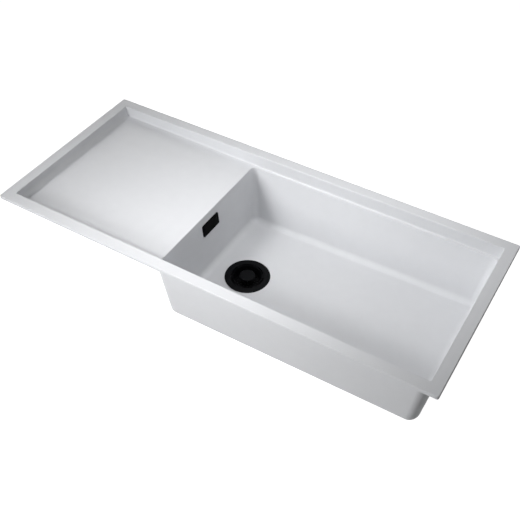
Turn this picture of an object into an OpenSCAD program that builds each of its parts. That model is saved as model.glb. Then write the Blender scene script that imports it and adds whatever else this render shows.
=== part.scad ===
// Inset composite kitchen sink with a drainboard, one large bowl, a basket strainer waste and an overflow.
// Millimetres, +Z up. The origin is the centre of the rim's outline in the plane of the worktop it rests on.
// +X points from the drainboard to the bowl and +Y to the wall behind the sink.

/* [Rim] */
// Overall length of the sink
rim_length = 1120; // [1000:10:1300]
// Overall depth of the sink, front to back
rim_depth = 480; // [440:5:560]
// Thickness of the rim plate that lies on the worktop
rim_thickness = 8.5; // [6:0.5:14]
// Plan radius of the rim's outer corners
rim_corner_r = 5; // [3:0.5:10]
// Rounding of the rim's top outer edge
rim_edge_r = 2; // [1:0.5:2]
// Width of the rim at the drainboard end
rim_left = 28.5; // [24:0.5:40]
// Width of the rim at the bowl end
rim_right = 27.8; // [24:0.1:40]
// Width of the rim along the front and the back
rim_side = 27.7; // [24:0.1:40]
// Bevel of the rim's inner edge
rim_bevel = 1.2; // [0.6:0.2:2]

/* [Drainboard] */
// Depth of the ledge round the bowl, below the rim's top
ledge_drop = 32.6; // [28:0.2:40]
// Fall of the drainboard from its far end to the bowl
board_fall = 4.4; // [2:0.2:8]
// Plan radius of the recess's corners
recess_corner_r = 3; // [3:0.5:12]
// Fillet where the recess's walls meet its floor
recess_fillet = 2.5; // [1:0.5:2.5]
// Fillet where the drainboard meets the wall at its far end
recess_fillet_left = 13; // [4:1:16]
// Lean of the recess's walls, degrees
recess_draft = 0.5; // [0.5:0.5:3]
// Thickness of the moulding under the drainboard
board_wall = 6; // [5:0.5:10]
// Thickness of the moulding behind the recess's far end
recess_wall = 6; // [5:0.5:10]
// Lean of the moulding's outer face at the drainboard's far end, degrees
board_draft = 3; // [2:0.5:5]

/* [Bowl] */
// Distance from the drainboard end of the rim to the bowl's edge
bowl_start = 438.6; // [400:0.2:520]
// Width of the ledge in front of and behind the bowl
ledge_side = 5.8; // [4:0.2:12]
// Width of the ledge at the bowl's far end
ledge_right = 5.2; // [4:0.2:12]
// Bevel of the bowl's edge at the ledge
bowl_bevel = 1; // [0.4:0.2:2]
// Depth of the bowl at the drain, below the rim's top
bowl_depth = 189.5; // [170:0.5:210]
// Lean of the bowl's front and back walls, degrees
bowl_draft = 8; // [6:0.5:9]
// Lean of the bowl's wall at the drainboard, degrees
bowl_draft_left = 5.4; // [4:0.2:7]
// Lean of the bowl's wall at the far end, degrees
bowl_draft_right = 7; // [5:0.5:8]
// Plan radius of the bowl's corners at the top
bowl_corner_top_r = 15; // [10:1:20]
// Plan radius of the bowl's corners at the foot of the walls
bowl_corner_r = 17.6; // [17.6:0.1:24]
// Fillet between the bowl's walls and its floor
bowl_fillet = 17; // [12:0.5:17]
// Fall of the bowl's floor towards the drain, degrees
floor_fall = 1.2; // [0.6:0.1:1.6]
// Thickness of the moulding under the bowl
floor_wall = 7; // [6:0.5:10]
// Thickness of the front and back walls at the ledge
side_wall = 8.8; // [8:0.2:12]
// Thickness of the wall at the drainboard, at the ledge
left_wall = 6; // [6:0.5:12]
// Thickness of the wall at the far end, at the ledge
right_wall = 10; // [9:0.5:14]
// Lean of the moulding's outer front and back, degrees
shell_draft = 6.5; // [5.5:0.1:8.5]
// Lean of the bowl's outer face under the drainboard, degrees
shell_draft_left = 4.7; // [3:0.1:5]
// Lean of the moulding's outer face at the far end, degrees
shell_draft_right = 7.3; // [6:0.1:8]
// Plan radius of the moulding's outer corners
shell_corner_r = 25; // [24:0.5:30]
// Fillet round the moulding's bottom edge
shell_fillet = 22; // [14:0.5:23]

/* [Drain] */
// Distance of the drain's centre from the bowl's edge at the drainboard
drain_from_edge = 111.4; // [100:0.1:250]
// Offset of the drain from the sink's centre line
drain_y = -5.4; // [-8:0.2:8]
// Outer diameter of the strainer's flange
flange_d = 113.4; // [112:0.2:120]
// Thickness of the strainer's flange
flange_t = 1.6; // [1.2:0.1:2.5]
// Depth of the strainer's cup below the flange's top
cup_depth = 36; // [36:1:44]
// Wall of the strainer's cup
cup_wall = 1.5; // [1:0.1:1.8]
// Width of the flange, from its outer edge to the opening inside it
flange_w = 15.5; // [14.5:0.1:17]
// Diameter of the knob that lifts the basket
knob_d = 38.6; // [30:0.2:44]
// Height of the knob above the flange
knob_rise = 2.6; // [1:0.1:6]
// Notches round the basket's edge
edge_notches = 6; // [3:1:8]
// Width of each notch round the edge, degrees
notch_angle = 40; // [20:1:42]
// Holes in each row of the basket's wall
wall_holes = 16; // [10:1:20]

/* [Waste] */
// Radius of the outlet's spigot, for a 1 1/2 inch pipe thread
outlet_r = 23.9; // [20:0.1:26]
// Length of the outlet's spigot
outlet_length = 20; // [14:1:30]
// Wall of the waste body
waste_wall = 3; // [2.5:0.5:4]
// Height of the waste body's funnel
funnel_h = 22; // [18:1:40]
// Radius of the overflow hose over its ribs
hose_r = 12; // [11:0.5:12]
// Radius of the hose's bore
hose_bore_r = 8.5; // [7:0.5:8.5]
// Spacing of the hose's ribs
rib_pitch = 4; // [3.6:0.2:6]
// Radius of the hose's bend
hose_bend_r = 48; // [40:1:50]

/* [Overflow] */
// Width of the overflow's bezel
bezel_width = 65; // [64:1:76]
// Height of the overflow's bezel
bezel_height = 32.6; // [32:0.2:40]
// Width of the bezel's border round the cover
bezel_border = 3.2; // [2.5:0.1:3.4]
// Distance that the bezel stands out from the wall
bezel_t = 3; // [2.8:0.1:4]
// Gap between the cover and the bezel, where the water goes in
cover_gap = 1.2; // [0.8:0.1:1.6]
// Depth of the overflow's centre below the rim's top
overflow_drop = 71.2; // [68:0.2:90]
// Height of the overflow's opening in the wall
slot_h = 16; // [12:1:18]
// Width of the overflow's opening in the wall
slot_w = 36; // [30:1:38]

/* [Hidden] */

// Smoothness of round parts, of small holes and of the hose
$fn = 96;
hole_fn = 24;
hose_fn = 12;
// One overrun for every cut
cut = 1;
// Steps round a corner of the moulding, up a fillet and over the rim's edge
corner_steps = 6;
fillet_steps = 5;
edge_steps = 3;
// Gap between parts that are drawn apart, and radial clearance of a thread or a push fit
gap = 0.3;
thread_gap = 0.05;

// Levels of the moulding
rim_top = rim_thickness;
ledge_z = rim_top - ledge_drop;
floor_z = rim_top - bowl_depth;
// Outline of the recess at the rim's top and of the bowl at the ledge, as left, right and half depth
recess = [-rim_length / 2 + rim_left, rim_length / 2 - rim_right, rim_depth / 2 - rim_side];
bowl = [-rim_length / 2 + bowl_start, recess[1] - ledge_right, recess[2] - ledge_side];
board = [recess[0] - recess_wall, bowl[0] + bowl_corner_r * 2, bowl[2] + side_wall];
shell = [bowl[0] - left_wall, bowl[1] + right_wall, bowl[2] + side_wall];
board_wall_fillet = 9;
board_corner_r = 12;
drain_x = bowl[0] + drain_from_edge;
// Floors, as a height at one place along X with the slopes to the left and the right of it
board_slope = -board_fall / (bowl[0] - recess[0]);
recess_floor = [ledge_z, board_slope, 0, bowl[0]];
board_under = [ledge_z - board_wall, board_slope, 0, bowl[0]];
bowl_floor = [floor_z, tan(floor_fall), tan(floor_fall), drain_x];
bowl_under = [floor_z - floor_wall, tan(floor_fall), tan(floor_fall), drain_x];

// The seat of the flange and the pad under the floor
seat_depth = 1.4;
seat_gap = 0.6;
seat_z = floor_z - seat_depth;
gasket_t = 1;
gasket_inset = 1;
flange_top = seat_z + gasket_t + flange_t;
flange_r = flange_d / 2;
flange_bevel = 2.8;
flange_rim_t = 0.5;
mouth_r = flange_r - flange_w;
hole_gap = 2.3;
drain_hole_r = mouth_r + cup_wall + hole_gap;
neck_h = 5;
cup_taper = 8.2;
foot_r = mouth_r - cup_taper;
cup_hole_share = 0.18;
cup_hole_r = foot_r * cup_hole_share;
cup_hole_count = 6;
cup_hole_circle_share = 0.56;
cup_hole_circle_r = foot_r * cup_hole_circle_share;
pad_rise = 3;
pad_z = floor_z - floor_wall - pad_rise;

// The clamp screw and its washer, and the basket, as depths below the flange's top
screw_r = 4;
screw_length = 22;
washer_r = 8.5;
washer_t = 1;
head_r = 7;
head_h = 1.8;
plate_top = cup_depth - cup_wall;
basket_gap = 0.2;
basket_r = mouth_r - basket_gap;
rim_drop = 0.8;
basket_rim_t = 1.5;
basket_wall = 1.3;
basket_rim_w = 4.8;
basket_shoulder_r = basket_r - basket_rim_w;
basket_taper = 6.2;
basket_foot_r = basket_shoulder_r - basket_taper;
basket_drop = 18.5;
notch_depth = 2.9;
wall_hole_r = 1.6;
floor_hole_r = 1.9;
wall_hole_drops = [7.5, 13];
floor_hole_circle_shares = [0.37, 0.6, 0.83];
floor_hole_circles = [for (s = floor_hole_circle_shares) basket_foot_r * s];
floor_hole_counts = [8, 12, 18];
stem_r = 3;
stem_bore_r = stem_r + thread_gap;
knob_r = knob_d / 2;
knob_t = 4.2;
knob_bevel = 0.9;
knob_skin = 1.7;
hub_r = 7;
hub_drop = 9;
nut_r = 6.4;
nut_h = 4;
seal_drop = plate_top - gap;
seal_t = 5;
seal_edge = 1;
seal_gap = 3.5;
seal_r = foot_r - seal_gap;
seal_taper = 3.5;
seal_foot_r = seal_r - seal_taper;
seal_pocket_r = 9;
seal_pocket_h = 3;
seal_skin = 1.3;

// The waste body
waste_gasket_t = 3;
waste_top = pad_z - waste_gasket_t;
waste_seat_w = 8;
waste_flange_r = drain_hole_r + waste_seat_w;
waste_flange_t = 4;
pad_margin = 4;
pad_r = waste_flange_r + pad_margin;
cup_gap = 1.3;
waste_bore_r = mouth_r + cup_wall + cup_gap;
waste_wall_h = 36;
funnel_z = waste_top - waste_wall_h;
outlet_z = funnel_z - funnel_h;
cup_bottom = flange_top - cup_depth;
boss_r = 8;
boss_h = 25;
arm_t = 3;
arm_count = 3;
arm_z = funnel_z + waste_wall / 3;

// The hose's couplings: a collar with a socket, a seal at its mouth and a nut over both
socket_r = hose_r + gap;
collar_r = 14.4;
collar_h = 14;
collar_reach = 2;
socket_h = 9;
hose_in = 8;
hose_seal_t = 2.5;
nut_lip_t = 2;
nut_outer_r = 18;
nut_length = 14.6;
nut_flutes = 12;
flute_r = 1.6;

// The overflow, with the pad on the outside of the wall for its elbow
overflow_z = rim_top - overflow_drop;
overflow_x = bowl[0] + (ledge_z - overflow_z) * tan(bowl_draft_left);
overflow_pad_rise = 3;
overflow_pad_x = shell[0] - overflow_pad_rise;
overflow_pad_w = 84;
overflow_pad_h = 44;
overflow_pad_t = 9;
overflow_corner_r = 6;
elbow_z = overflow_z - (overflow_x - overflow_pad_x) * tan(bowl_draft_left);
elbow_w = 76;
elbow_h = 28;
elbow_t = 4;
elbow_gasket_t = 2;
elbow_wall = 3;
elbow_x = overflow_pad_x - elbow_gasket_t - elbow_t;
chamber_length = 33;
bezel_corner_r = 3;
bezel_back_t = 1.6;
bezel_slot_w = 30;
bezel_slot_h = 11;
peg_r = 1.4;
peg_y = 18.5;
peg_z = 9.2;
peg_skin = 0.6;
overflow_screw_y = 25.4;
overflow_screw_r = 1.9;
overflow_screw_head_r = 3.1;
overflow_screw_head_h = 0.8;
overflow_screw_length = 25;
overflow_bore_length = 36;
overflow_screw_slot = 0.4;

// The hose's route: down from the elbow, round its bend and along to the waste body
hose_x = elbow_x - chamber_length / 2;
hose_z = (waste_top - waste_flange_t + funnel_z) / 2;
upper_end = elbow_z - slot_h / 2 - elbow_wall - collar_h;
lower_end = drain_x - waste_flange_r - collar_h - collar_reach;
hose_drop = upper_end + hose_in - hose_z - hose_bend_r;
hose_turn = hose_bend_r * PI / 2;
hose_run = lower_end + hose_in - hose_x - hose_bend_r;
hose_length = hose_drop + hose_turn + hose_run;
cuff = hose_in + hose_seal_t + nut_lip_t + rib_pitch / 2;
rib_count = floor((hose_length - 2 * cuff) / rib_pitch);
rib_step = (hose_length - 2 * cuff) / rib_count;
rib_depth = 1.8;
valley_r = hose_r - rib_depth;
bend_steps = 10;

stone = [0.93, 0.93, 0.94];
black = [0.07, 0.07, 0.08];
rubber = [0.12, 0.12, 0.12];
plastic = [0.88, 0.88, 0.87];
steel = [0.72, 0.73, 0.74];

function plane_z(x, fall) = fall[0] + (x < fall[3] ? fall[1] : fall[2]) * (x - fall[3]);
function mix(a, b, share) = a + (b - a) * share;
function in_plane(rise, draft) = rise * tan(draft);

// A closed solid through rings of points, listed from the top down. Each ring runs anticlockwise from above
// and is the same on both sides of the X axis.
module loft(rings) {
    count = len(rings[0]);
    last = (len(rings) - 1) * count;
    sides = [
        for (i = [0:len(rings) - 2], j = [0:count - 1])
            let (k = (j + 1) % count)
                each [
                    [i * count + j, i * count + k, (i + 1) * count + k],
                    [i * count + j, (i + 1) * count + k, (i + 1) * count + j]
                ]
    ];
    top = [for (k = [0:count / 2 - 2]) [k + 1, k, count - 1 - k, count - 2 - k]];
    bottom = [
        for (k = [0:count / 2 - 2])
            [last + k, last + k + 1, last + count - 2 - k, last + count - 1 - k]
    ];
    polyhedron(points = [for (r = rings) each r], faces = concat(top, sides, bottom), convexity = 4);
}

// A rounded rectangle at one height, grown by a distance for each of its ends and its sides.
// bend is a place along X where the front and the back get one more point.
function flat_ring(out, grow, r, z, bend) = [
    for (c = [0:3], j = [0:corner_steps + (bend != undef && c % 2 == 0 ? 1 : 0)])
        let (
            a = 90 * (c + j / corner_steps),
            x = (c == 0 || c == 3) ? out[1] + grow[1] - r : out[0] - grow[0] + r,
            y = (c < 2 ? 1 : -1) * (out[2] + grow[2] - r)
        )
            j > corner_steps
                ? [bend, (c < 2 ? 1 : -1) * (out[2] + grow[2]), z]
                : [x + r * cos(a), y + r * sin(a), z]
];

// One ring of the fillet at the foot of a tub. share runs from the foot of the walls to the floor.
function foot_ring(out, drafts, datum, fall, fillets, radius, bend, share) = [
    for (c = [0:3], j = [0:corner_steps + (bend != undef && c % 2 == 0 ? 1 : 0)])
        let (
            bent = j > corner_steps,
            side = (c == 0 || c == 3) ? 1 : 0,
            sx = side == 1 ? 1 : -1,
            sy = c < 2 ? 1 : -1,
            dx = drafts[side],
            dy = drafts[2],
            fx = fillets[side],
            fy = fillets[2],
            ax = mix(dx, 90, share),
            ay = mix(dy, 90, share),
            foot_x = out[side] - sx * in_plane(datum - fall[0], dx),
            foot = plane_z(foot_x, fall),
            foot_y = bent ? plane_z(bend, fall) : foot,
            lean_x = in_plane(datum - foot - fx * (1 - sin(dx)), dx),
            lean_y = in_plane(datum - foot_y - fy * (1 - sin(dy)), dy),
            x = out[side] - sx * (lean_x + fx * (cos(dx) - cos(ax))),
            y = sy * (out[2] - lean_y - fy * (cos(dy) - cos(ay))),
            r = radius - min(fx, fy) * (cos(dy) - cos(ay)),
            a = 90 * (c + j / corner_steps),
            along = c % 2 == 0 ? j / corner_steps : 1 - j / corner_steps,
            px = bent ? bend : x - sx * r + r * cos(a),
            py = bent ? y : y - sy * r + r * sin(a),
            rise = bent ? fy * (1 - sin(ay)) : mix(fx * (1 - sin(ax)), fy * (1 - sin(ay)), along)
        )
            [px, py, plane_z(px, fall) + rise]
];

// A moulded tub: walls that lean in from an outline at the datum's height, a fillet and a floor.
// drafts and fillets are for the left, the right and the sides, and bevel widens the mouth above the datum.
module tub(out, drafts, datum, top_z, fall, fillets, top_radius, radius, bend, bevel = 0) {
    grow = [for (d = drafts) in_plane(top_z - datum, d)];
    flare = bevel > 0 ? bevel + top_z - datum : 0;
    loft(concat(
        [flat_ring(out, [for (g = grow) g + flare], top_radius + flare, top_z, bend)],
        bevel > 0
            ? [flat_ring(out, [for (d = drafts) in_plane(-bevel, d)], top_radius, datum - bevel, bend)]
            : [],
        [
            for (i = [0:fillet_steps])
                foot_ring(out, drafts, datum, fall, fillets, radius, bend, i / fillet_steps)
        ]
    ));
}

// A rounded rectangle, centred
module rounded(w, h, r) {
    square([w - 2 * r, h], center = true);
    square([w, h - 2 * r], center = true);
    for (x = [-1, 1], y = [-1, 1])
        translate([x * (w / 2 - r), y * (h / 2 - r)])
            circle(r = r, $fn = hole_fn);
}

// A plate with rounded corners that stands across the X axis, from the origin towards +X
module plate(w, h, r, t) {
    rotate([90, 0, 90])
        linear_extrude(t)
            rounded(w, h, r);
}

// Places a shape on the bowl's wall at the overflow, with +X square to the wall and into the bowl
module at_overflow() {
    translate([overflow_x, 0, overflow_z])
        rotate([0, -bowl_draft_left, 0])
            children();
}

// Places a shape on the drain's axis at the flange's top
module at_drain() {
    translate([drain_x, drain_y, flange_top])
        children();
}

// Place a shape at the mouth of a hose's collar, with +Z into the collar
module at_upper() {
    translate([hose_x, drain_y, upper_end])
        children();
}

module at_lower() {
    translate([lower_end, drain_y, hose_z])
        rotate([0, 90, 0])
            children();
}

// The holes for the two screws of the overflow, along the wall's normal
module overflow_bores(r) {
    at_overflow()
        for (y = [-1, 1])
            translate([bezel_t + cut, y * overflow_screw_y, 0])
                rotate([0, -90, 0])
                    cylinder(r = r, h = overflow_bore_length, $fn = hole_fn);
}

// The rim plate with its rounded top edge
module rim_plate() {
    out = [-rim_length / 2, rim_length / 2, rim_depth / 2];
    loft(concat(
        [
            for (i = [0:edge_steps])
                let (
                    inset = rim_edge_r * (1 - sin(90 * i / edge_steps)),
                    drop = rim_edge_r * (1 - cos(90 * i / edge_steps))
                )
                    flat_ring(out, [-inset, -inset, -inset], rim_corner_r - inset, rim_top - drop)
        ],
        [flat_ring(out, [0, 0, 0], rim_corner_r, 0)]
    ));
}

// The sink itself, moulded in one piece
module sink_basin() {
    drafts = [recess_draft, recess_draft, recess_draft];
    fillets = [recess_fillet_left, recess_fillet, recess_fillet];
    color(stone)
        difference() {
            union() {
                rim_plate();
                tub(
                    board, [board_draft, board_draft, shell_draft], ledge_z, rim_top / 2,
                    board_under, [board_wall_fillet, board_wall_fillet, board_wall_fillet],
                    board_corner_r, board_corner_r, bowl[0]
                );
                tub(
                    shell, [shell_draft_left, shell_draft_right, shell_draft], ledge_z, rim_top / 2,
                    bowl_under, [shell_fillet, shell_fillet, shell_fillet], shell_corner_r, shell_corner_r
                );
                translate([drain_x, drain_y, pad_z])
                    cylinder(r = pad_r, h = pad_rise + floor_wall / 2);
                translate([overflow_pad_x, 0, elbow_z])
                    plate(overflow_pad_w, overflow_pad_h, overflow_corner_r, overflow_pad_t);
            }
            tub(
                recess, drafts, rim_top, rim_top + cut, recess_floor, fillets, recess_corner_r,
                recess_corner_r, bowl[0], rim_bevel
            );
            tub(
                bowl, [bowl_draft_left, bowl_draft_right, bowl_draft], ledge_z, ledge_z + cut, bowl_floor,
                [bowl_fillet, bowl_fillet, bowl_fillet], bowl_corner_top_r, bowl_corner_r,
                bevel = bowl_bevel
            );
            translate([drain_x, drain_y, pad_z - cut])
                cylinder(r = drain_hole_r, h = pad_rise + floor_wall + cut * 2);
            translate([drain_x, drain_y, seat_z])
                cylinder(r = flange_r + seat_gap, h = seat_depth * 2);
            at_overflow()
                translate([-overflow_screw_length, 0, 0])
                    plate(slot_w, slot_h, slot_h / 2 - gap, overflow_screw_length + cut);
            overflow_bores(overflow_screw_r + gap);
        }
}

// The strainer's flange and cup, pressed from one sheet
module drain_flange() {
    color(black)
        at_drain()
            difference() {
                rotate_extrude()
                    polygon([
                        [0, -cup_depth], [foot_r + cup_wall, -cup_depth], [mouth_r + cup_wall, -neck_h],
                        [mouth_r + cup_wall, -flange_t], [flange_r, -flange_t],
                        [flange_r, flange_rim_t - flange_t], [flange_r - flange_bevel, 0], [mouth_r, 0],
                        [mouth_r, -neck_h], [foot_r, -plate_top], [0, -plate_top]
                    ]);
                translate([0, 0, -cup_depth - cut])
                    cylinder(r = screw_r + gap, h = cup_wall + cut * 2, $fn = hole_fn);
                for (i = [1:cup_hole_count])
                    rotate(360 * i / cup_hole_count)
                        translate([cup_hole_circle_r, 0, -cup_depth - cut])
                            cylinder(r = cup_hole_r, h = cup_wall + cut * 2, $fn = hole_fn);
            }
}

// Seal between the flange and the bowl
module flange_gasket() {
    color(rubber)
        translate([drain_x, drain_y, seat_z])
            difference() {
                cylinder(r = flange_r - gasket_inset, h = gasket_t);
                translate([0, 0, -cut])
                    cylinder(r = drain_hole_r, h = gasket_t + cut * 2);
            }
}

// Seal between the bowl and the waste body
module waste_gasket() {
    color(rubber)
        translate([drain_x, drain_y, waste_top])
            difference() {
                cylinder(r = waste_flange_r - gasket_inset, h = waste_gasket_t);
                translate([0, 0, -cut])
                    cylinder(r = drain_hole_r, h = waste_gasket_t + cut * 2);
            }
}

// The waste body: a funnel with an outlet, a boss for the clamp screw and an inlet for the hose
module waste_body() {
    color(plastic)
        difference() {
            union() {
                translate([drain_x, drain_y, 0])
                    rotate_extrude()
                        polygon([
                            [waste_bore_r, waste_top], [waste_flange_r, waste_top],
                            [waste_flange_r, waste_top - waste_flange_t],
                            [waste_bore_r + waste_wall, waste_top - waste_flange_t],
                            [waste_bore_r + waste_wall, funnel_z],
                            [outlet_r, outlet_z], [outlet_r, outlet_z - outlet_length],
                            [outlet_r - waste_wall, outlet_z - outlet_length],
                            [outlet_r - waste_wall, outlet_z], [waste_bore_r, funnel_z]
                        ]);
                translate([drain_x, drain_y, cup_bottom - boss_h])
                    cylinder(r = boss_r, h = boss_h);
                for (i = [1:arm_count])
                    translate([drain_x, drain_y, arm_z])
                        rotate(360 * i / arm_count)
                            translate([boss_r / 2, -arm_t / 2, 0])
                                cube([waste_bore_r + waste_wall / 2 - boss_r / 2, arm_t, boss_h / 2]);
                at_lower()
                    difference() {
                        cylinder(r = collar_r, h = drain_x - lower_end - waste_bore_r);
                        translate([0, 0, collar_h])
                            cylinder(r = hose_bore_r, h = waste_bore_r);
                    }
            }
            at_lower()
                translate([0, 0, -cut])
                    cylinder(r = socket_r, h = socket_h + cut);
            at_lower()
                cylinder(r = hose_bore_r, h = drain_x - lower_end - waste_bore_r + waste_wall);
            translate([drain_x, drain_y, cup_bottom - boss_h - cut])
                cylinder(r = screw_r, h = boss_h + cut * 2, $fn = hole_fn);
        }
}

// The screw that clamps the flange, the bowl and the waste body together
module clamp_screw() {
    color(steel)
        at_drain()
            difference() {
                union() {
                    translate([0, 0, -plate_top + washer_t])
                        cylinder(r = head_r, h = head_h);
                    translate([0, 0, -plate_top + washer_t - screw_length])
                        cylinder(r = screw_r - thread_gap, h = screw_length + head_h / 2);
                }
                translate([-head_r - cut, -washer_t / 2, -plate_top + washer_t + head_h / 2])
                    cube([(head_r + cut) * 2, washer_t, head_h]);
            }
}

// The washer under the screw's head
module screw_washer() {
    color(rubber)
        at_drain()
            translate([0, 0, -plate_top])
                difference() {
                    cylinder(r = washer_r, h = washer_t);
                    translate([0, 0, -cut])
                        cylinder(r = screw_r, h = washer_t + cut * 2, $fn = hole_fn);
                }
}

// The basket, with notches round its edge and holes in its wall and floor
module basket_cup() {
    notch_r = basket_r - notch_depth;
    under = rim_drop + basket_rim_t;
    color(black)
        at_drain()
            difference() {
                rotate_extrude()
                    polygon([
                        [stem_bore_r, -basket_drop - basket_wall],
                        [basket_foot_r + basket_wall, -basket_drop - basket_wall],
                        [basket_shoulder_r + basket_wall, -under], [basket_r, -under],
                        [basket_r, -rim_drop], [basket_shoulder_r, -rim_drop],
                        [basket_foot_r, -basket_drop], [stem_bore_r, -basket_drop]
                    ]);
                for (i = [1:edge_notches])
                    rotate(360 * i / edge_notches - notch_angle / 2)
                        rotate_extrude(angle = notch_angle)
                            translate([notch_r, -under - cut])
                                square([notch_depth + cut, basket_rim_t + cut * 2]);
                for (d = wall_hole_drops, i = [1:wall_holes])
                    rotate(360 * (i + d / wall_hole_drops[0] / 2) / wall_holes)
                        translate([basket_foot_r / 2, 0, -d])
                            rotate([0, 90, 0])
                                cylinder(r = wall_hole_r, h = basket_foot_r, $fn = hole_fn);
                for (n = [0:len(floor_hole_circles) - 1], i = [1:floor_hole_counts[n]])
                    rotate(360 * i / floor_hole_counts[n])
                        translate([floor_hole_circles[n], 0, -basket_drop - basket_wall - cut])
                            cylinder(r = floor_hole_r, h = basket_wall + cut * 2, $fn = hole_fn);
            }
}

// The stem that joins the knob, the basket and its seal
module basket_stem() {
    foot = seal_drop - seal_pocket_h - seal_skin;
    color(steel)
        at_drain()
            translate([0, 0, -foot])
                cylinder(r = stem_r, h = foot + knob_rise - knob_skin, $fn = hole_fn);
}

// The knob, a flat disc on a hub
module basket_knob() {
    color(black)
        at_drain()
            rotate_extrude()
                polygon([
                    [stem_bore_r, -hub_drop], [hub_r, -hub_drop], [hub_r, knob_rise - knob_t - knob_bevel],
                    [knob_r - knob_bevel, knob_rise - knob_t], [knob_r, knob_rise - knob_t + knob_bevel],
                    [knob_r, knob_rise - knob_bevel], [knob_r - knob_bevel, knob_rise],
                    [0, knob_rise], [0, knob_rise - knob_skin + thread_gap],
                    [stem_bore_r, knob_rise - knob_skin + thread_gap]
                ]);
}

// The rubber plug under the basket, which closes the holes in the cup
module basket_seal() {
    color(rubber)
        at_drain()
            rotate_extrude()
                polygon([
                    [seal_pocket_r, -seal_drop], [seal_foot_r, -seal_drop],
                    [seal_r, -seal_drop + seal_t - seal_edge], [seal_r, -seal_drop + seal_t],
                    [hub_r, -seal_drop + seal_t], [hub_r, -basket_drop - basket_wall - nut_h],
                    [stem_bore_r, -basket_drop - basket_wall - nut_h],
                    [stem_bore_r, -seal_drop + seal_pocket_h + seal_skin - thread_gap],
                    [0, -seal_drop + seal_pocket_h + seal_skin - thread_gap],
                    [0, -seal_drop + seal_pocket_h], [seal_pocket_r, -seal_drop + seal_pocket_h]
                ]);
}

// The nut that holds the basket on its stem
module basket_nut() {
    color(steel)
        at_drain()
            translate([0, 0, -basket_drop - basket_wall - nut_h])
                difference() {
                    cylinder(r = nut_r, h = nut_h, $fn = 6);
                    translate([0, 0, -cut])
                        cylinder(r = stem_bore_r, h = nut_h + cut * 2, $fn = hole_fn);
                }
}

// The overflow's cover, a plate on four pegs that push into the bezel
module overflow_cover() {
    w = bezel_width - 2 * (bezel_border + cover_gap);
    h = bezel_height - 2 * (bezel_border + cover_gap);
    color(black)
        at_overflow() {
            translate([bezel_back_t + gap, 0, 0])
                plate(w, h, bezel_corner_r / 2, bezel_t - bezel_back_t - gap);
            for (y = [-1, 1], z = [-1, 1])
                translate([0, y * peg_y, z * peg_z])
                    rotate([0, 90, 0])
                        cylinder(r = peg_r, h = bezel_t - peg_skin, $fn = hole_fn);
        }
}

// The overflow's bezel, a shallow tray with a hole for the water, two for screws and four for the pegs
module overflow_bezel() {
    inner_w = bezel_width - 2 * bezel_border;
    inner_h = bezel_height - 2 * bezel_border;
    color(black)
        difference() {
            at_overflow()
                difference() {
                    plate(bezel_width, bezel_height, bezel_corner_r, bezel_t);
                    translate([bezel_back_t, 0, 0])
                        plate(inner_w, inner_h, bezel_corner_r / 2, bezel_t);
                    translate([-cut, 0, 0])
                        plate(bezel_slot_w, bezel_slot_h, bezel_corner_r, bezel_t);
                    for (y = [-1, 1], z = [-1, 1])
                        translate([-cut, y * peg_y, z * peg_z])
                            rotate([0, 90, 0])
                                cylinder(r = peg_r + thread_gap, h = bezel_t + cut, $fn = hole_fn);
                }
            overflow_bores(overflow_screw_r + thread_gap);
            at_overflow()
                for (y = [-1, 1])
                    translate([bezel_back_t - overflow_screw_head_h, y * overflow_screw_y, 0])
                        rotate([0, 90, 0])
                            cylinder(r = overflow_screw_head_r + thread_gap, h = bezel_t, $fn = hole_fn);
        }
}

// Seal between the overflow's elbow and the outside of the bowl
module overflow_gasket() {
    color(rubber)
        difference() {
            translate([overflow_pad_x - elbow_gasket_t, 0, elbow_z])
                plate(elbow_w, elbow_h, overflow_corner_r, elbow_gasket_t);
            translate([overflow_pad_x - elbow_gasket_t - cut, 0, elbow_z])
                plate(slot_w, slot_h, slot_h / 2 - gap, elbow_gasket_t + cut * 2);
            overflow_bores(overflow_screw_r + thread_gap);
        }
}

// The overflow's elbow, which takes the water down into the hose
module overflow_elbow() {
    color(plastic)
        difference() {
            union() {
                translate([elbow_x, 0, elbow_z])
                    plate(elbow_w, elbow_h, overflow_corner_r, elbow_t);
                translate([elbow_x - chamber_length, 0, elbow_z])
                    plate(
                        slot_w + 2 * elbow_wall, slot_h + 2 * elbow_wall, overflow_corner_r,
                        chamber_length + elbow_t / 2
                    );
                at_upper()
                    cylinder(r = collar_r, h = collar_h + elbow_wall / 2);
            }
            translate([elbow_x - chamber_length + elbow_wall, 0, elbow_z])
                plate(slot_w, slot_h, slot_h / 2 - gap, chamber_length + elbow_t + cut);
            at_upper()
                translate([0, 0, -cut])
                    cylinder(r = socket_r, h = socket_h + cut);
            at_upper()
                cylinder(r = hose_bore_r, h = collar_h + elbow_wall + slot_h / 2);
            overflow_bores(overflow_screw_r + thread_gap);
        }
}

// The two screws that hold the bezel, the bowl's wall and the elbow together
module overflow_screws() {
    head_r = overflow_screw_head_r;
    head_h = overflow_screw_head_h;
    color(steel)
        at_overflow()
            for (y = [-1, 1])
                translate([bezel_back_t - head_h, y * overflow_screw_y, 0])
                    difference() {
                        union() {
                            rotate([0, -90, 0])
                                cylinder(r = overflow_screw_r, h = overflow_screw_length, $fn = hole_fn);
                            rotate([0, 90, 0])
                                cylinder(r = head_r, h = head_h, $fn = hole_fn);
                        }
                        translate([head_h - overflow_screw_slot, -head_r - cut, -gap])
                            cube([head_h, (head_r + cut) * 2, gap * 2]);
                    }
}

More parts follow.
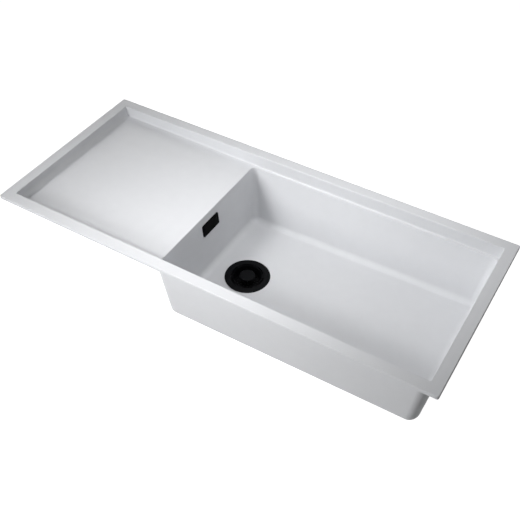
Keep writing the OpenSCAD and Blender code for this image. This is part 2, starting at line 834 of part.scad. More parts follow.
// A ring of points square to the hose's route, at a distance along it
function hose_ring(s, r) = let (
    turn = min(max((s - hose_drop) / hose_turn, 0), 1) * 90,
    down = min(s, hose_drop),
    along = max(s - hose_drop - hose_turn, 0),
    x = hose_x + hose_bend_r * (1 - cos(turn)) + along,
    z = upper_end + hose_in - down - hose_bend_r * sin(turn)
) [
    for (j = [0:hose_fn - 1])
        let (a = 360 * j / hose_fn)
            [x + r * cos(a) * cos(turn), drain_y + r * sin(a), z + r * cos(a) * sin(turn)]
];

// The overflow's ribbed hose, whole from its upper cuff to its lower one
module overflow_hose() {
    outside = concat(
        [hose_ring(0, hose_r), hose_ring(cuff - rib_step / 4, hose_r)],
        [
            for (i = [0:rib_count - 1], k = [0, 1])
                hose_ring(cuff + (i + 0.25 + k / 2) * rib_step, k == 0 ? valley_r : hose_r)
        ],
        [hose_ring(hose_length, hose_r)]
    );
    inside = concat(
        [hose_ring(hose_length, hose_bore_r)],
        [for (i = [bend_steps:-1:0]) hose_ring(hose_drop + hose_turn * i / bend_steps, hose_bore_r)],
        [hose_ring(0, hose_bore_r)]
    );
    rings = concat(outside, inside);
    color(plastic)
        polyhedron(
            points = [for (r = rings) each r],
            faces = [
                for (i = [0:len(rings) - 1], j = [0:hose_fn - 1])
                    let (
                        n = (i + 1) % len(rings),
                        k = (j + 1) % hose_fn
                    )
                        each [
                            [i * hose_fn + j, i * hose_fn + k, n * hose_fn + k],
                            [i * hose_fn + j, n * hose_fn + k, n * hose_fn + j]
                        ]
            ],
            convexity = 8
        );
}

// A fluted nut over the collar's thread, with a lip under the seal
module hose_nut() {
    lip = hose_seal_t + nut_lip_t;
    difference() {
        translate([0, 0, -lip])
            cylinder(r = nut_outer_r, h = nut_length);
        translate([0, 0, -lip - cut])
            cylinder(r = socket_r, h = nut_length + cut * 2);
        translate([0, 0, -hose_seal_t])
            cylinder(r = collar_r + thread_gap, h = nut_length);
        for (i = [1:nut_flutes])
            rotate(360 * i / nut_flutes)
                translate([nut_outer_r + flute_r / 2, 0, -lip - cut])
                    cylinder(r = flute_r, h = nut_length + cut * 2, $fn = hole_fn);
    }
}

// A sealing ring between the collar's mouth and the nut's lip
module hose_seal() {
    translate([0, 0, -hose_seal_t])
        difference() {
            cylinder(r = collar_r, h = hose_seal_t);
            translate([0, 0, -cut])
                cylinder(r = hose_r + thread_gap, h = hose_seal_t + cut * 2);
        }
}

module hose_nut_upper() {
    color(plastic)
        at_upper()
            hose_nut();
}

module hose_nut_lower() {
    color(plastic)
        at_lower()
            hose_nut();
}

module hose_seal_upper() {
    color(rubber)
        at_upper()
            hose_seal();
}

module hose_seal_lower() {
    color(rubber)
        at_lower()
            hose_seal();
}

sink_basin();
drain_flange();
flange_gasket();
waste_gasket();
waste_body();
clamp_screw();
screw_washer();
basket_cup();
basket_stem();
basket_knob();
basket_seal();
basket_nut();
overflow_cover();
overflow_bezel();
overflow_gasket();
overflow_elbow();
overflow_screws();
overflow_hose();
hose_nut_upper();
hose_nut_lower();
hose_seal_upper();
hose_seal_lower();
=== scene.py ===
import math

import bmesh
import bpy
from mathutils import Matrix, Vector


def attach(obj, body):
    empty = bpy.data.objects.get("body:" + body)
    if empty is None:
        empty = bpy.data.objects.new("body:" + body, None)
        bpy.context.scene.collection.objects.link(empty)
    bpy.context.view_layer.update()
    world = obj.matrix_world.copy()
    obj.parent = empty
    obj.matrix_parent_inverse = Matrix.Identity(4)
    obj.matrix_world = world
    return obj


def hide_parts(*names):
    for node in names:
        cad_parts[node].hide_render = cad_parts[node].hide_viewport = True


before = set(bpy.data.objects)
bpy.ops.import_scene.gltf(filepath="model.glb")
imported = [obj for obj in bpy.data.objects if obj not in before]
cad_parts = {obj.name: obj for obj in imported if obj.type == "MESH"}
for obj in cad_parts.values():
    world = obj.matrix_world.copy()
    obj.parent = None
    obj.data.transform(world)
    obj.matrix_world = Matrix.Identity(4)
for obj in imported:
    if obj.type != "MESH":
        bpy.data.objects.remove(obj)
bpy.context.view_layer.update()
MM = 0.001
scene = bpy.context.scene
scene.view_settings.view_transform = "Standard"

# Camera. It stands in front of the sink's bowl end and looks down at about 45 degrees.
CAMERA_LENS = 54.85
CAMERA_PLACE = Vector((720.78, -1152.72, 1238.91)) * MM
CAMERA_RIGHT = Vector((0.8550, 0.5187, 0.0012))
CAMERA_UP = Vector((-0.3679, 0.6048, 0.7063))
lens = bpy.data.cameras.new("camera")
lens.lens = CAMERA_LENS
lens.sensor_width = 36.0
lens.clip_start = 0.05
lens.clip_end = 50.0
camera = bpy.data.objects.new("camera", lens)
scene.collection.objects.link(camera)
back = CAMERA_RIGHT.cross(CAMERA_UP).normalized()
up = back.cross(CAMERA_RIGHT).normalized()
turn = Matrix((CAMERA_RIGHT.normalized(), up, back)).transposed().to_4x4()
camera.matrix_world = Matrix.Translation(CAMERA_PLACE) @ turn
scene.camera = camera

# The sink. One piece of cast quartz composite, from the rim that lies on the worktop down to the bowl. It has
# a fine matt grain. The mould leaves flat faces that lean a few degrees, and rounds every edge a little.

# Sizes are in millimetres and angles in degrees. SAME_POINT is in metres. RIM, RECESS, BOWL and SHELL give the
# left, the right and half the depth. Leans and fillets go by the left, the right and the sides. ELBOW_PAD gives
# its face's place, its width, height and corner radius, and SLOT its width, height and corner radius.
RIM = (-560.0, 560.0, 240.0)
RIM_TOP = 8.5
RIM_CORNER = 5.0
RIM_EDGE = 2.0
RIM_FOOT_EDGE = 0.5
RECESS = (-531.5, 532.2, 212.3)
RECESS_CORNER = 3.0
RECESS_LEAN = (0.5, 0.5, 0.5)
RECESS_FILLETS = (13.0, 2.5, 2.5)
RECESS_EDGE = 1.4
LEDGE_Z = -24.1
BOARD_FALL = 4.4
BOWL = (-121.4, 527.0, 206.5)
BOWL_LEAN = (5.4, 7.0, 8.0)
BOWL_CORNER = 15.0
BOWL_FOOT_CORNER = 17.6
BOWL_FILLET = 17.0
BOWL_EDGE = 1.7
FLOOR_Z = -181.0
FLOOR_FALL = 1.2
FLOOR_WALL = 7.0
SHELL = (-127.4, 537.0, 215.3)
SHELL_LEAN = (4.7, 7.3, 6.5)
SHELL_CORNER = 25.0
SHELL_FILLET = 22.0
SHELL_LEFT_TOP = -27.0
BOARD_WALL = 6.0
BOARD_LEFT = -537.5
BOARD_LEAN = 3.0
BOARD_CORNER = 12.0
BOARD_FILLET = 9.0
BOARD_END = -125.0
SEAM = -80.0
DRAIN = (-10.0, -5.4)
SEAT_Z = -182.4
SEAT_R = 57.3
SEAT_EDGE = 0.7
SEAT_LIFT = 0.05
HOLE_R = 45.0
PAD_R = 57.0
PAD_Z = -191.0
OVERFLOW_Z = -62.7
ELBOW_PAD = (-130.4, 84.0, 44.0, 6.0)
ELBOW_Z = -63.9
SLOT = (36.0, 16.0, 7.7)
CORNER_STEPS = 10
FILLET_STEPS = 10
EDGE_STEPS = 5
ROUND_STEPS = 96
PLATE_STEPS = 8
EDGE_KNEE = 0.3
SAME_POINT = 1e-7
SMOOTH_BELOW = 32.0
FLAT_FACE_WEIGHT = 90
OVERFLOW_X = BOWL[0] + (LEDGE_Z - OVERFLOW_Z) * math.tan(math.radians(BOWL_LEAN[0]))
BOARD_SLOPE = -BOARD_FALL / (BOWL[0] - RECESS[0])
FLOOR_SLOPE = math.tan(math.radians(FLOOR_FALL))


def board_z(x):
    """Height of the drainboard and of the ledge round the bowl."""
    return LEDGE_Z + min(x - BOWL[0], 0.0) * BOARD_SLOPE


def board_underside_z(x):
    return board_z(x) - BOARD_WALL


def floor_z(x):
    """Height of the bowl's floor, which falls to the drain."""
    return FLOOR_Z + FLOOR_SLOPE * (x - DRAIN[0])


def floor_underside_z(x):
    return floor_z(x) - FLOOR_WALL


def lean(drop, degrees):
    """How far a leaning wall goes sideways over a drop."""
    return drop * math.tan(math.radians(degrees))


def rim_ring(out, grow, radius, z, bend=None):
    """A rounded rectangle, anticlockwise from above, grown at the left, the right and the sides. A bend adds
    a point to each long side."""
    points = []
    for corner in range(4):
        right = corner in (0, 3)
        side = 1 if corner < 2 else -1
        x = out[1] + grow[1] - radius if right else out[0] - grow[0] + radius
        y = side * (out[2] + grow[2] - radius)
        for step in range(CORNER_STEPS + 1):
            a = math.radians(90 * (corner + step / CORNER_STEPS))
            px = x + radius * math.cos(a)
            points.append((px, y + radius * math.sin(a), z(px) if callable(z) else z))
        if bend is not None and corner % 2 == 0:
            points.append((bend, side * (out[2] + grow[2]), z(bend) if callable(z) else z))
    return points


def foot_ring(out, leans, datum, floor, fillets, radius, share, bend=None):
    """One ring of the fillet at the foot of leaning walls, from the walls at share 0 to the floor at 1."""
    points = []
    for corner in range(4):
        end = 1 if corner in (0, 3) else 0
        sx = 1 if end else -1
        sy = 1 if corner < 2 else -1
        dx, dy = math.radians(leans[end]), math.radians(leans[2])
        fx, fy = fillets[end], fillets[2]
        ax = dx + share * (math.pi / 2 - dx)
        ay = dy + share * (math.pi / 2 - dy)
        corner_foot = floor(out[end] - sx * (datum - floor(out[end])) * math.tan(dx))
        spots = [(90 * (corner + s / CORNER_STEPS), s / CORNER_STEPS, False) for s in range(CORNER_STEPS + 1)]
        if bend is not None and corner % 2 == 0:
            spots.append((90 * (corner + 1), 1.0, True))
        for degrees, along, bent in spots:
            along = along if corner % 2 == 0 else 1 - along
            foot_y = floor(bend) if bent else corner_foot
            lean_x = (datum - corner_foot - fx * (1 - math.sin(dx))) * math.tan(dx)
            lean_y = (datum - foot_y - fy * (1 - math.sin(dy))) * math.tan(dy)
            x = out[end] - sx * (lean_x + fx * (math.cos(dx) - math.cos(ax)))
            y = sy * (out[2] - lean_y - fy * (math.cos(dy) - math.cos(ay)))
            r = radius - min(fx, fy) * (math.cos(dy) - math.cos(ay))
            a = math.radians(degrees)
            px = bend if bent else x - sx * r + r * math.cos(a)
            py = y if bent else y - sy * r + r * math.sin(a)
            rise_x, rise_y = fx * (1 - math.sin(ax)), fy * (1 - math.sin(ay))
            rise = rise_y if bent else rise_x + (rise_y - rise_x) * along
            points.append((px, py, floor(px) + rise))
    return points


def round_ring(centre, radius, z):
    """A circle, anticlockwise from above. z is a height, or a height for each x."""
    points = []
    for step in range(ROUND_STEPS):
        a = 2 * math.pi * step / ROUND_STEPS
        x = centre[0] + radius * math.cos(a)
        points.append((x, centre[1] + radius * math.sin(a), z(x) if callable(z) else z))
    return points


class Skin:
    """A mesh made of rings of points, in millimetres."""

    def __init__(self):
        self.mesh = bmesh.new()

    def ring(self, points):
        """The points as vertices. Points that fall together share one."""
        verts = []
        for point in points:
            place = Vector(point) * MM
            if verts and (verts[-1].co - place).length < SAME_POINT:
                verts.append(verts[-1])
            else:
                verts.append(self.mesh.verts.new(place))
        return verts

    def face(self, verts):
        kept = [v for n, v in enumerate(verts) if v is not verts[n - 1]]
        if len(set(kept)) == len(kept) > 2:
            self.mesh.faces.new(kept)

    def band(self, first, second, closed=True, skip=()):
        """Faces between two rings. Skips the sides that start at the points in skip."""
        for n in range(len(first) if closed else len(first) - 1):
            k = (n + 1) % len(first)
            if n not in skip:
                self.face([first[n], first[k], second[k], second[n]])

    def bands(self, rings):
        for first, second in zip(rings, rings[1:]):
            self.band(first, second)

    def fill(self, loops, facing):
        """Flat faces between loops, of which the first is the outline and the rest are holes."""
        edges = []
        for loop in loops:
            for n, v in enumerate(loop):
                if v is not loop[n - 1]:
                    pair = (v, loop[n - 1])
                    edges.append(self.mesh.edges.get(pair) or self.mesh.edges.new(pair))
        made = bmesh.ops.triangle_fill(self.mesh, edges=edges, use_beauty=True, use_dissolve=False)
        for item in made["geom"]:
            if isinstance(item, bmesh.types.BMFace):
                item.normal_update()
                if item.normal.dot(Vector(facing)) < 0:
                    item.normal_flip()

    def build(self, name):
        """The finished object, with smooth rounded edges and flat faces kept flat."""
        self.mesh.normal_update()
        for edge in self.mesh.edges:
            if len(edge.link_faces) == 2:
                edge.smooth = edge.calc_face_angle(0.0) < math.radians(SMOOTH_BELOW)
        data = bpy.data.meshes.new(name)
        self.mesh.to_mesh(data)
        self.mesh.free()
        data.shade_smooth()
        made = bpy.data.objects.new(name, data)
        scene.collection.objects.link(made)
        weigh = made.modifiers.new("flat faces", "WEIGHTED_NORMAL")
        weigh.keep_sharp = True
        weigh.weight = FLAT_FACE_WEIGHT
        return made


def soft_edge(leans, size, share):
    """A row of the rounded edge between a level face and leaning walls, from the face at share 0 to the walls
    at 1: its offsets at the left, the right and the sides, and its mean drop."""
    start = (1 - share) ** 2 * size
    grow = [start - share**2 * size * math.sin(math.radians(d)) for d in leans]
    drop = [share**2 * size * math.cos(math.radians(d)) for d in leans]
    return grow, sum(drop) / len(drop)


sink = Skin()
shell_rise = [lean(-LEDGE_Z, d) for d in SHELL_LEAN]
bowl_top = rim_ring(SHELL, shell_rise, SHELL_CORNER, 0.0, SEAM)
board_out = (BOARD_LEFT, SHELL[1], SHELL[2])
board_rise = (lean(-LEDGE_Z, BOARD_LEAN), shell_rise[1], shell_rise[2])
board_top = rim_ring(board_out, board_rise, BOARD_CORNER, 0.0, SEAM)
half = CORNER_STEPS + 2
left_part = range(half, half + 2 * (CORNER_STEPS + 1))
under = sink.ring([board_top[n] if n in left_part else bowl_top[n] for n in range(len(bowl_top))])

path = [under]
knee = RIM_FOOT_EDGE * EDGE_KNEE
for inset, z in ((RIM_FOOT_EDGE, 0.0), (knee, knee), (0.0, RIM_FOOT_EDGE)):
    path.append(sink.ring(rim_ring(RIM, [-inset] * 3, RIM_CORNER - inset, z, SEAM)))
for step in range(EDGE_STEPS + 1):
    a = math.pi / 2 * step / EDGE_STEPS
    inset = RIM_EDGE * (1 - math.cos(a))
    z = RIM_TOP - RIM_EDGE * (1 - math.sin(a))
    path.append(sink.ring(rim_ring(RIM, [-inset] * 3, RIM_CORNER - inset, z, SEAM)))
board_bend = BOWL[0] - BOWL_EDGE
for step in range(EDGE_STEPS + 1):
    a = math.pi / 2 * step / EDGE_STEPS
    grow = RECESS_EDGE * (1 - math.sin(a))
    z = RIM_TOP - RECESS_EDGE * (1 - math.cos(a))
    path.append(sink.ring(rim_ring(RECESS, [grow] * 3, RECESS_CORNER + grow, z, board_bend)))
for step in range(FILLET_STEPS + 1):
    share = step / FILLET_STEPS
    row = foot_ring(RECESS, RECESS_LEAN, RIM_TOP, board_z, RECESS_FILLETS, RECESS_CORNER, share, board_bend)
    path.append(sink.ring(row))
sink.bands(path)

# The drainboard and the ledge, between the recess's floor and the bowl's edge.
floor_edge = path[-1]
bowl_grow = soft_edge(BOWL_LEAN, BOWL_EDGE, 0.0)[0]
bowl_edge = sink.ring(rim_ring(BOWL, bowl_grow, BOWL_CORNER + BOWL_EDGE, board_z))
ARC = CORNER_STEPS + 1
outer_start = (0, ARC + 1, 2 * ARC + 1, 3 * ARC + 2)
outer_arcs = [floor_edge[start : start + ARC] for start in outer_start]
inner_arcs = [bowl_edge[corner * ARC : (corner + 1) * ARC] for corner in range(4)]
back_bend, front_bend = floor_edge[ARC], floor_edge[3 * ARC + 1]
sink.face([back_bend] + outer_arcs[1] + outer_arcs[2] + [front_bend, inner_arcs[2][0], inner_arcs[1][-1]])
sink.face([outer_arcs[0][-1], back_bend] + inner_arcs[1][::-1] + [inner_arcs[0][-1]])
sink.face([front_bend, outer_arcs[3][0], inner_arcs[3][0]] + inner_arcs[2][::-1])
sink.face([outer_arcs[3][-1], outer_arcs[0][0], inner_arcs[0][0], inner_arcs[3][-1]])
for corner in (0, 3):
    sink.band(outer_arcs[corner], inner_arcs[corner], closed=False)

# The bowl, down to its floor.
path = [bowl_edge]
for step in range(1, EDGE_STEPS + 1):
    grow, drop = soft_edge(BOWL_LEAN, BOWL_EDGE, step / EDGE_STEPS)
    path.append(sink.ring(rim_ring(BOWL, grow, BOWL_CORNER + grow[2], LEDGE_Z - drop)))
sink.bands(path)
wall_top = path[-1]
path = []
for step in range(FILLET_STEPS + 1):
    share = step / FILLET_STEPS
    row = foot_ring(BOWL, BOWL_LEAN, LEDGE_Z, floor_z, [BOWL_FILLET] * 3, BOWL_FOOT_CORNER, share)
    path.append(sink.ring(row))
left_side = 2 * ARC - 1
sink.band(wall_top, path[0], skip=(left_side,))
sink.bands(path)
bowl_floor = path[-1]

# The overflow's slot, through the bowl's wall and the pad behind it.
tilt = math.radians(BOWL_LEAN[0])
SLOT_OUT = Vector((math.cos(tilt), 0, math.sin(tilt)))
SLOT_UP = Vector((-math.sin(tilt), 0, math.cos(tilt)))
OVERFLOW = Vector((OVERFLOW_X, 0, OVERFLOW_Z))


def plate_ring(width, height, radius):
    """A rounded rectangle of (across, up) pairs, anticlockwise."""
    points = []
    for corner, (sx, sy) in enumerate(((1, 1), (-1, 1), (-1, -1), (1, -1))):
        across, rise = sx * (width / 2 - radius), sy * (height / 2 - radius)
        for step in range(PLATE_STEPS + 1):
            a = math.radians(90 * (corner + step / PLATE_STEPS))
            points.append((across + radius * math.cos(a), rise + radius * math.sin(a)))
    return points


slot_ring, slot_exit = [], []
for across, rise in plate_ring(*SLOT):
    inner_point = OVERFLOW + Vector((0, across, 0)) + SLOT_UP * rise
    reach = (inner_point.x - ELBOW_PAD[0]) / SLOT_OUT.x
    slot_ring.append(inner_point)
    slot_exit.append(inner_point - SLOT_OUT * reach)
slot_ring, slot_exit = sink.ring(slot_ring), sink.ring(slot_exit)
wall = [wall_top[left_side], path[0][left_side], path[0][left_side + 1], wall_top[left_side + 1]]
sink.fill([wall, slot_ring], SLOT_OUT)
sink.band(slot_ring, slot_exit)

# The drain's seat and hole, and the pad under the floor.
knee = SEAT_EDGE * EDGE_KNEE
path = []
for radius, drop in ((SEAT_R + SEAT_EDGE, 0.0), (SEAT_R + knee, knee), (SEAT_R, SEAT_EDGE)):
    lowest = SEAT_Z + SEAT_LIFT * (1 - drop)
    row = round_ring(DRAIN, radius, lambda x: max(floor_z(x) - drop, lowest))
    path.append(sink.ring(row))
sink.fill([bowl_floor, path[0]], (0, 0, 1))
for radius, z in ((SEAT_R, SEAT_Z), (HOLE_R, SEAT_Z), (HOLE_R, PAD_Z), (PAD_R, PAD_Z)):
    path.append(sink.ring(round_ring(DRAIN, radius, z)))
path.append(sink.ring(round_ring(DRAIN, PAD_R, floor_underside_z)))
sink.bands(path)
pad_foot = path[-1]

# The outside of the bowl, from its underside up to the rim.
path = []
fillets = [SHELL_FILLET] * 3
for step in range(FILLET_STEPS + 1):
    share = 1 - step / FILLET_STEPS
    row = foot_ring(SHELL, SHELL_LEAN, LEDGE_Z, floor_underside_z, fillets, SHELL_CORNER, share, SEAM)
    path.append(sink.ring(row))
sink.bands(path)
sink.fill([path[0], pad_foot], (0, 0, -1))
board_leans = (BOARD_LEAN, BOARD_LEAN, SHELL_LEAN[2])
last_left = left_part[-1]
board_path = []
fillets = [BOARD_FILLET] * 3
for step in range(FILLET_STEPS + 1):
    share = step / FILLET_STEPS
    row = foot_ring(board_out, board_leans, LEDGE_Z, board_underside_z, fillets, BOARD_CORNER, share, SEAM)
    board_path.append(sink.ring(row[half - 1 : last_left + 2]))
seam_back, seam_front = board_path[0][0], board_path[0][-1]
seam_z = seam_back.co.z / MM
low, high = [
    rim_ring(SHELL, [lean(z - LEDGE_Z, d) for d in SHELL_LEAN], SHELL_CORNER, z, SEAM)
    for z in (SHELL_LEFT_TOP, seam_z)
]
low[half], low[last_left] = high[half], high[last_left]
shell_top = list(under)
for n in left_part:
    shell_top[n] = sink.mesh.verts.new(Vector(low[n]) * MM)
foot = path[-1]
left_side = half + ARC - 1
sink.band(foot, shell_top, skip=(half - 2, half - 1, left_side, last_left, last_left + 1))
sink.face([foot[half - 2], foot[half - 1], seam_back, shell_top[half - 1], shell_top[half - 2]])
sink.face([foot[half - 1], foot[half], shell_top[half], seam_back])
sink.face([foot[last_left], foot[last_left + 1], seam_front, shell_top[last_left]])
right_foot, right_top = foot[last_left + 1 : last_left + 3], shell_top[last_left + 1 : last_left + 3]
sink.face(right_foot + right_top[::-1] + [seam_front])
pad_ring = []
for across, rise in plate_ring(*ELBOW_PAD[1:]):
    z = ELBOW_Z + rise
    pad_ring.append((SHELL[0] + lean(LEDGE_Z - z, SHELL_LEAN[0]), -across, z))
pad_face = sink.ring([(ELBOW_PAD[0], y, z) for x, y, z in pad_ring])
pad_ring = sink.ring(pad_ring)
wall = [foot[left_side], foot[left_side + 1], shell_top[left_side + 1], shell_top[left_side]]
sink.fill([wall, pad_ring], (-1, 0, 0))
sink.band(pad_ring, pad_face)
sink.fill([pad_face, slot_exit], (-1, 0, 0))

# The outside of the drainboard, open towards the bowl.
path = [[under[half - 1]] + [under[n] for n in left_part] + [under[last_left + 1]]] + board_path
for first, second in zip(path, path[1:]):
    sink.band(second, first, closed=False)
end = path[-1]
corners = sink.ring([(BOARD_END, s * end[0].co.y / MM, board_underside_z(BOARD_END)) for s in (-1, 1)])
sink.face((end + corners)[::-1])
basin = sink.build("composite_sink")


class Wire:
    """A socket of a material, with arithmetic."""

    def __init__(self, finish, socket):
        self.finish, self.socket = finish, socket

    def maths(self, how, *values):
        return self.finish.add("ShaderNodeMath", {"operation": how}, dict(enumerate(values)))

    def __add__(self, other):
        return self.maths("ADD", self, other)

    def __sub__(self, other):
        return self.maths("SUBTRACT", self, other)

    def __mul__(self, other):
        return self.maths("MULTIPLY", self, other)

    __radd__ = __add__


# Numbers of the sockets used on the nodes for coordinates, for mixed colours and for facing.
OBJECT_SPACE = 3
MIX_FACTOR, MIX_LOW, MIX_HIGH, MIX_RESULT = 0, 6, 7, 2
BACKFACING = 6


class Finish:
    """A material, or the air, built up from nodes."""

    def __init__(self, name, **constants):
        self.material = name if isinstance(name, bpy.types.World) else bpy.data.materials.new(name)
        self.material.use_nodes = True
        self.tree = self.material.node_tree
        self.shader = self.tree.nodes.get("Principled BSDF")
        for socket, value in constants.items():
            self.shader.inputs[socket.replace("_", " ")].default_value = value

    def add(self, kind, settings=None, sockets=None, out=0):
        """A node of that kind. Its settings are set first, then its sockets get values or links."""
        node = self.tree.nodes.new(kind)
        for name, value in (settings or {}).items():
            setattr(node, name, value)
        for key, value in (sockets or {}).items():
            if isinstance(value, Wire):
                self.tree.links.new(value.socket, node.inputs[key])
            else:
                node.inputs[key].default_value = value
        return Wire(self, node.outputs[out])

    def feed(self, socket, wire):
        self.tree.links.new(wire.socket, self.shader.inputs[socket])

    def noise(self, scale, detail, roughness):
        place = self.add("ShaderNodeTexCoord", out=OBJECT_SPACE)
        sockets = {"Vector": place, "Scale": scale, "Detail": detail, "Roughness": roughness}
        return self.add("ShaderNodeTexNoise", {}, sockets)

    def blend(self, amount, low, high):
        """A colour between two, by amount."""
        sockets = {MIX_FACTOR: amount, MIX_LOW: (*low, 1.0), MIX_HIGH: (*high, 1.0)}
        return self.add("ShaderNodeMix", {"data_type": "RGBA"}, sockets, MIX_RESULT)

    def bump(self, height, strength, distance):
        sockets = {"Strength": strength, "Distance": distance, "Height": height}
        self.feed("Normal", self.add("ShaderNodeBump", {}, sockets))


composite = Finish("white_composite", IOR=1.5)
grain = composite.noise(2600.0, 2.0, 0.6)
cloud = composite.noise(38.0, 3.0, 0.5)
contrast = {"Value": grain * 0.7 + cloud * 0.3, "From Min": 0.3, "From Max": 0.7}
amount = composite.add("ShaderNodeMapRange", {}, contrast)
composite.feed("Base Color", composite.blend(amount, (0.596, 0.604, 0.623), (0.636, 0.644, 0.663)))
composite.feed("Roughness", 0.5 + grain * 0.12 - cloud * 0.06)
composite.bump(grain, 0.25, 0.00005)
basin.data.materials.append(composite.material)
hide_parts("sink_basin")
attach(basin, "sink")


# The strainer. A flange with a cup pressed from steel, and a lift-out basket with a turned knob, all with a
# satin black coating. The basket's cup has a darker copy of that coating, which paints the shade inside the
# basket.
# The clamp screw and its washer show only through the basket.
def black_coating(name, sheen, low, high):
    """A fine-grained black coating, between two tones."""
    coat = Finish(name, IOR=1.5, Specular_IOR_Level=sheen)
    grain = coat.noise(900.0, 3.0, 0.6)
    cloud = coat.noise(60.0, 2.0, 0.5)
    coat.feed("Base Color", coat.blend(grain * 0.6 + cloud * 0.4, low, high))
    coat.feed("Roughness", 0.34 + cloud * 0.12)
    coat.bump(grain, 0.12, 0.00004)
    return coat


satin = black_coating("satin_black_coating", 0.045, (0.0020, 0.0022, 0.0028), (0.0040, 0.0043, 0.0052))
# A copy of the satin coating with darker colours and less sheen: painted shade for the inside of the basket.
painted_shade_black = black_coating("satin_black_painted_shade", 0.03, (0.0013, 0.0014, 0.0018), (0.0024, 0.0026, 0.0032))

steel = Finish("plain_steel", Metallic=1.0)
grain = steel.noise(1400.0, 2.0, 0.5)
steel.feed("Base Color", steel.blend(grain, (0.50, 0.51, 0.52), (0.62, 0.63, 0.64)))
steel.feed("Roughness", 0.28 + grain * 0.15)

rubber = Finish("black_rubber")
grain = rubber.noise(1800.0, 2.0, 0.5)
rubber.feed("Base Color", rubber.blend(grain, (0.018, 0.018, 0.018), (0.03, 0.03, 0.03)))
rubber.feed("Roughness", 0.75 + grain * 0.15)
rubber.bump(grain, 0.3, 0.00008)

# Rounded edges, in millimetres. WELD_GAP is in metres.
COATED_EDGE = 0.3
TURNED_EDGE = 0.2
EDGE_ANGLE = 38.0
EDGE_SEGMENTS = 3
WELD_GAP = 0.00001


def dress(node, finish):
    """Gives a node of the model one material."""
    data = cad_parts[node].data
    data.materials.clear()
    data.materials.append(finish.material)


def soften(node, size):
    """Rounds a node's sharp edges, by a size in millimetres."""
    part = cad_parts[node]
    weld = part.modifiers.new("one skin", "WELD")
    weld.merge_threshold = WELD_GAP
    edge = part.modifiers.new("rounded edges", "BEVEL")
    edge.width = size * MM
    edge.segments = EDGE_SEGMENTS
    edge.limit_method = "ANGLE"
    edge.angle_limit = math.radians(EDGE_ANGLE)
    weigh = part.modifiers.new("flat faces", "WEIGHTED_NORMAL")
    weigh.weight = FLAT_FACE_WEIGHT


# The basket's cup gets the darker copy of the coating, with its painted shade.
for node, coat in {"drain_flange": satin, "basket_cup": painted_shade_black, "basket_knob": satin}.items():
    dress(node, coat)
    soften(node, COATED_EDGE)
for node in ("clamp_screw", "basket_stem", "basket_nut"):
    dress(node, steel)
    soften(node, TURNED_EDGE)
for node in ("screw_washer", "basket_seal", "flange_gasket", "waste_gasket"):
    dress(node, rubber)

# The overflow's cover and bezel. Both are moulded in black plastic, and the cover clips into the bezel. The
# two steel screws hold the bezel, the wall and the elbow together, with a rubber seal between.
COVER_EDGE = 0.25
black_plastic = Finish("black_plastic", IOR=1.46, Specular_IOR_Level=0.02)
grain = black_plastic.noise(1500.0, 2.0, 0.6)
black = black_plastic.blend(grain, (0.0006, 0.0006, 0.0008), (0.0014, 0.0014, 0.0017))
black_plastic.feed("Base Color", black)
black_plastic.feed("Roughness", 0.36 + grain * 0.1)
black_plastic.bump(grain, 0.15, 0.00004)
for node in ("overflow_cover", "overflow_bezel"):
    dress(node, black_plastic)
    soften(node, COVER_EDGE)
dress("overflow_screws", steel)
dress("overflow_gasket", rubber)

# The waste body, the elbow and the hose's nuts. All are moulded in white polypropylene, and screwed or pushed
# together under the bowl, with a rubber ring at each joint.
MOULDED_EDGE = 0.6
white_plastic = Finish("white_plastic", IOR=1.49)
grain = white_plastic.noise(1200.0, 2.0, 0.5)
cloud = white_plastic.noise(25.0, 2.0, 0.5)
tone = grain * 0.5 + cloud * 0.5
white_plastic.feed("Base Color", white_plastic.blend(tone, (0.62, 0.62, 0.605), (0.70, 0.70, 0.685)))
white_plastic.feed("Roughness", 0.38 + cloud * 0.12)
white_plastic.bump(grain, 0.1, 0.00005)
for node in ("waste_body", "overflow_elbow", "hose_nut_upper", "hose_nut_lower"):
    dress(node, white_plastic)
    soften(node, MOULDED_EDGE)
for node in ("hose_seal_upper", "hose_seal_lower"):
    dress(node, rubber)

# The overflow's hose. It is blown from the same plastic, with rounded ribs that let it bend, and has a plain
# cuff at each end, which is pushed into the collar of the elbow and into that of the waste body.
HOSE_X = -152.9
HOSE_TOP = -80.9
HOSE_Z = -214.0
HOSE_END = -71.0
HOSE_BEND = 48.0
HOSE_R = 12.0
HOSE_VALLEY = 10.2
HOSE_BORE = 8.5
HOSE_CUFF = 14.5
HOSE_EDGE = 0.4
RIB_PITCH = 4.0
RIB_STEPS = 8
RIB_FULLNESS = 0.6
HOSE_ROUND = 36
BEND_STEPS = 30
hose_drop = HOSE_TOP - HOSE_Z - HOSE_BEND
hose_turn = HOSE_BEND * math.pi / 2
hose_length = hose_drop + hose_turn + HOSE_END - HOSE_X - HOSE_BEND


def hose_ring(along, radius):
    """A ring square to the hose's route: down from the elbow, round the bend and on to the waste body."""
    turned = min(max((along - hose_drop) / hose_turn, 0.0), 1.0) * math.pi / 2
    run = max(along - hose_drop - hose_turn, 0.0)
    x = HOSE_X + HOSE_BEND * (1 - math.cos(turned)) + run
    z = HOSE_TOP - min(along, hose_drop) - HOSE_BEND * math.sin(turned)
    points = []
    for step in range(HOSE_ROUND):
        a = 2 * math.pi * step / HOSE_ROUND
        reach = radius * math.cos(a)
        y = DRAIN[1] + radius * math.sin(a)
        points.append((x + reach * math.cos(turned), y, z + reach * math.sin(turned)))
    return points


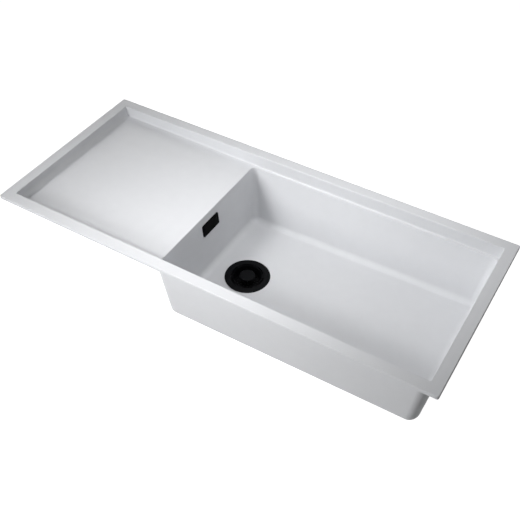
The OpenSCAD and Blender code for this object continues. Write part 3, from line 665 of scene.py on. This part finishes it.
hose = Skin()
rows = [(0.0, HOSE_R - HOSE_EDGE), (HOSE_EDGE, HOSE_R), (HOSE_CUFF, HOSE_R)]
ribbed = hose_length - 2 * HOSE_CUFF
ribs = int(ribbed / RIB_PITCH)
for step in range(1, ribs * RIB_STEPS):
    swell = abs(math.cos(math.pi * step / RIB_STEPS)) ** RIB_FULLNESS
    rows.append((HOSE_CUFF + ribbed * step / ribs / RIB_STEPS, HOSE_VALLEY + (HOSE_R - HOSE_VALLEY) * swell))
rows += [(hose_length - HOSE_CUFF, HOSE_R), (hose_length - HOSE_EDGE, HOSE_R)]
rows += [(hose_length, HOSE_R - HOSE_EDGE), (hose_length, HOSE_BORE)]
rows += [(hose_drop + hose_turn * step / BEND_STEPS, HOSE_BORE) for step in range(BEND_STEPS, -1, -1)]
rows.append((0.0, HOSE_BORE))
rings = [hose.ring(hose_ring(*row)) for row in rows]
for first, second in zip(rings, rings[1:] + rings[:1]):
    hose.band(first, second)
ribbed_hose = hose.build("ribbed_hose")
ribbed_hose.data.materials.append(white_plastic.material)
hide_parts("overflow_hose")
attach(ribbed_hose, "sink")

# The studio. A pale floor under the sink, and six lamps: a strong low one at the left front, a weaker one
# behind, two over the bowl, and two narrow beams from the front and the left. The floor and the air look white
# to the camera.
FLOOR_LEVEL = -272.5 * MM
FLOOR_SIZE = 14.0
GLOW = 0.98
AIR_LEVEL = 0.0
bpy.ops.mesh.primitive_plane_add(size=FLOOR_SIZE, location=(0, 0, FLOOR_LEVEL))
ground = bpy.context.object
ground.name = "floor"
pale = Finish("pale_floor", Roughness=0.9, Base_Color=(0.5, 0.5, 0.5, 1.0))


def seen_by(finish):
    """1 for what the camera, a reflection or a clear material sees, and 0 for the light on the object."""
    rays = finish.tree.nodes.new("ShaderNodeLightPath")
    return sum(Wire(finish, rays.outputs[f"Is {kind} Ray"]) for kind in ("Camera", "Glossy", "Transmission"))


glow = pale.add("ShaderNodeEmission", {}, {"Strength": GLOW})
shaded = Wire(pale, pale.shader.outputs[0])
lit = pale.add("ShaderNodeAddShader", {}, {0: shaded, 1: glow})
mixed = pale.add("ShaderNodeMixShader", {}, {0: seen_by(pale), 1: shaded, 2: lit})
from_below = pale.add("ShaderNodeNewGeometry", out=BACKFACING)
clear = pale.add("ShaderNodeBsdfTransparent")
mixed = pale.add("ShaderNodeMixShader", {}, {0: from_below, 1: mixed, 2: clear})
pale.tree.links.new(mixed.socket, pale.tree.nodes["Material Output"].inputs["Surface"])
ground.data.materials.append(pale.material)

scene.world = bpy.data.worlds.new("studio_air")
scene.world.use_nodes = True
air = Finish(scene.world)
unseen_air = air.add("ShaderNodeBackground", {}, {"Strength": AIR_LEVEL})
white_air = air.add("ShaderNodeBackground", {}, {"Color": (1.0, 1.0, 1.0, 1.0), "Strength": 1.0})
chosen = air.add("ShaderNodeMixShader", {}, {0: seen_by(air), 1: unseen_air, 2: white_air})
air.tree.links.new(chosen.socket, air.tree.nodes["World Output"].inputs["Surface"])


def lamp(name, place, target, size, watts, beam):
    """A square lamp that faces a point and isn't seen itself. The beam is in degrees."""
    light = bpy.data.lights.new(name, "AREA")
    light.shape = "SQUARE"
    light.size = size
    light.energy = watts
    light.spread = math.radians(beam)
    made = bpy.data.objects.new(name, light)
    scene.collection.objects.link(made)
    made.location = place
    made.rotation_euler = (Vector(place) - Vector(target)).to_track_quat("Z", "Y").to_euler()
    made.visible_camera = False


# Each lamp's place, the point it faces and its size, all in metres, then its watts and its beam in degrees.
SINK_MIDDLE = (-0.15, -0.1, 0.0)
WHOLE_BEAM = 180.0
LAMPS = {
    "low_front_lamp": ((-0.73, -1.69, 0.616), SINK_MIDDLE, 0.5, 21.0, WHOLE_BEAM),
    "back_lamp": ((-0.984, 0.894, 0.524), SINK_MIDDLE, 0.6, 2.9, WHOLE_BEAM),
    "bowl_lamp": ((0.0, 0.0, 0.45), (0.0, 0.0, 0.0), 0.4, 1.71, WHOLE_BEAM),
    "bowl_end_lamp": ((0.4, 0.3, 0.45), (0.4, 0.3, 0.0), 0.4, 1.07, WHOLE_BEAM),
    "front_spot": ((-0.65, -1.3, 1.0), (0.1, -0.1, 0.0), 0.3, 1.23, 50.0),
    "left_spot": ((-1.1, 0.25, 1.2), (-0.2, -0.25, 0.0), 0.3, 0.47, 45.0),
}
for name, setting in LAMPS.items():
    lamp(name, *setting)

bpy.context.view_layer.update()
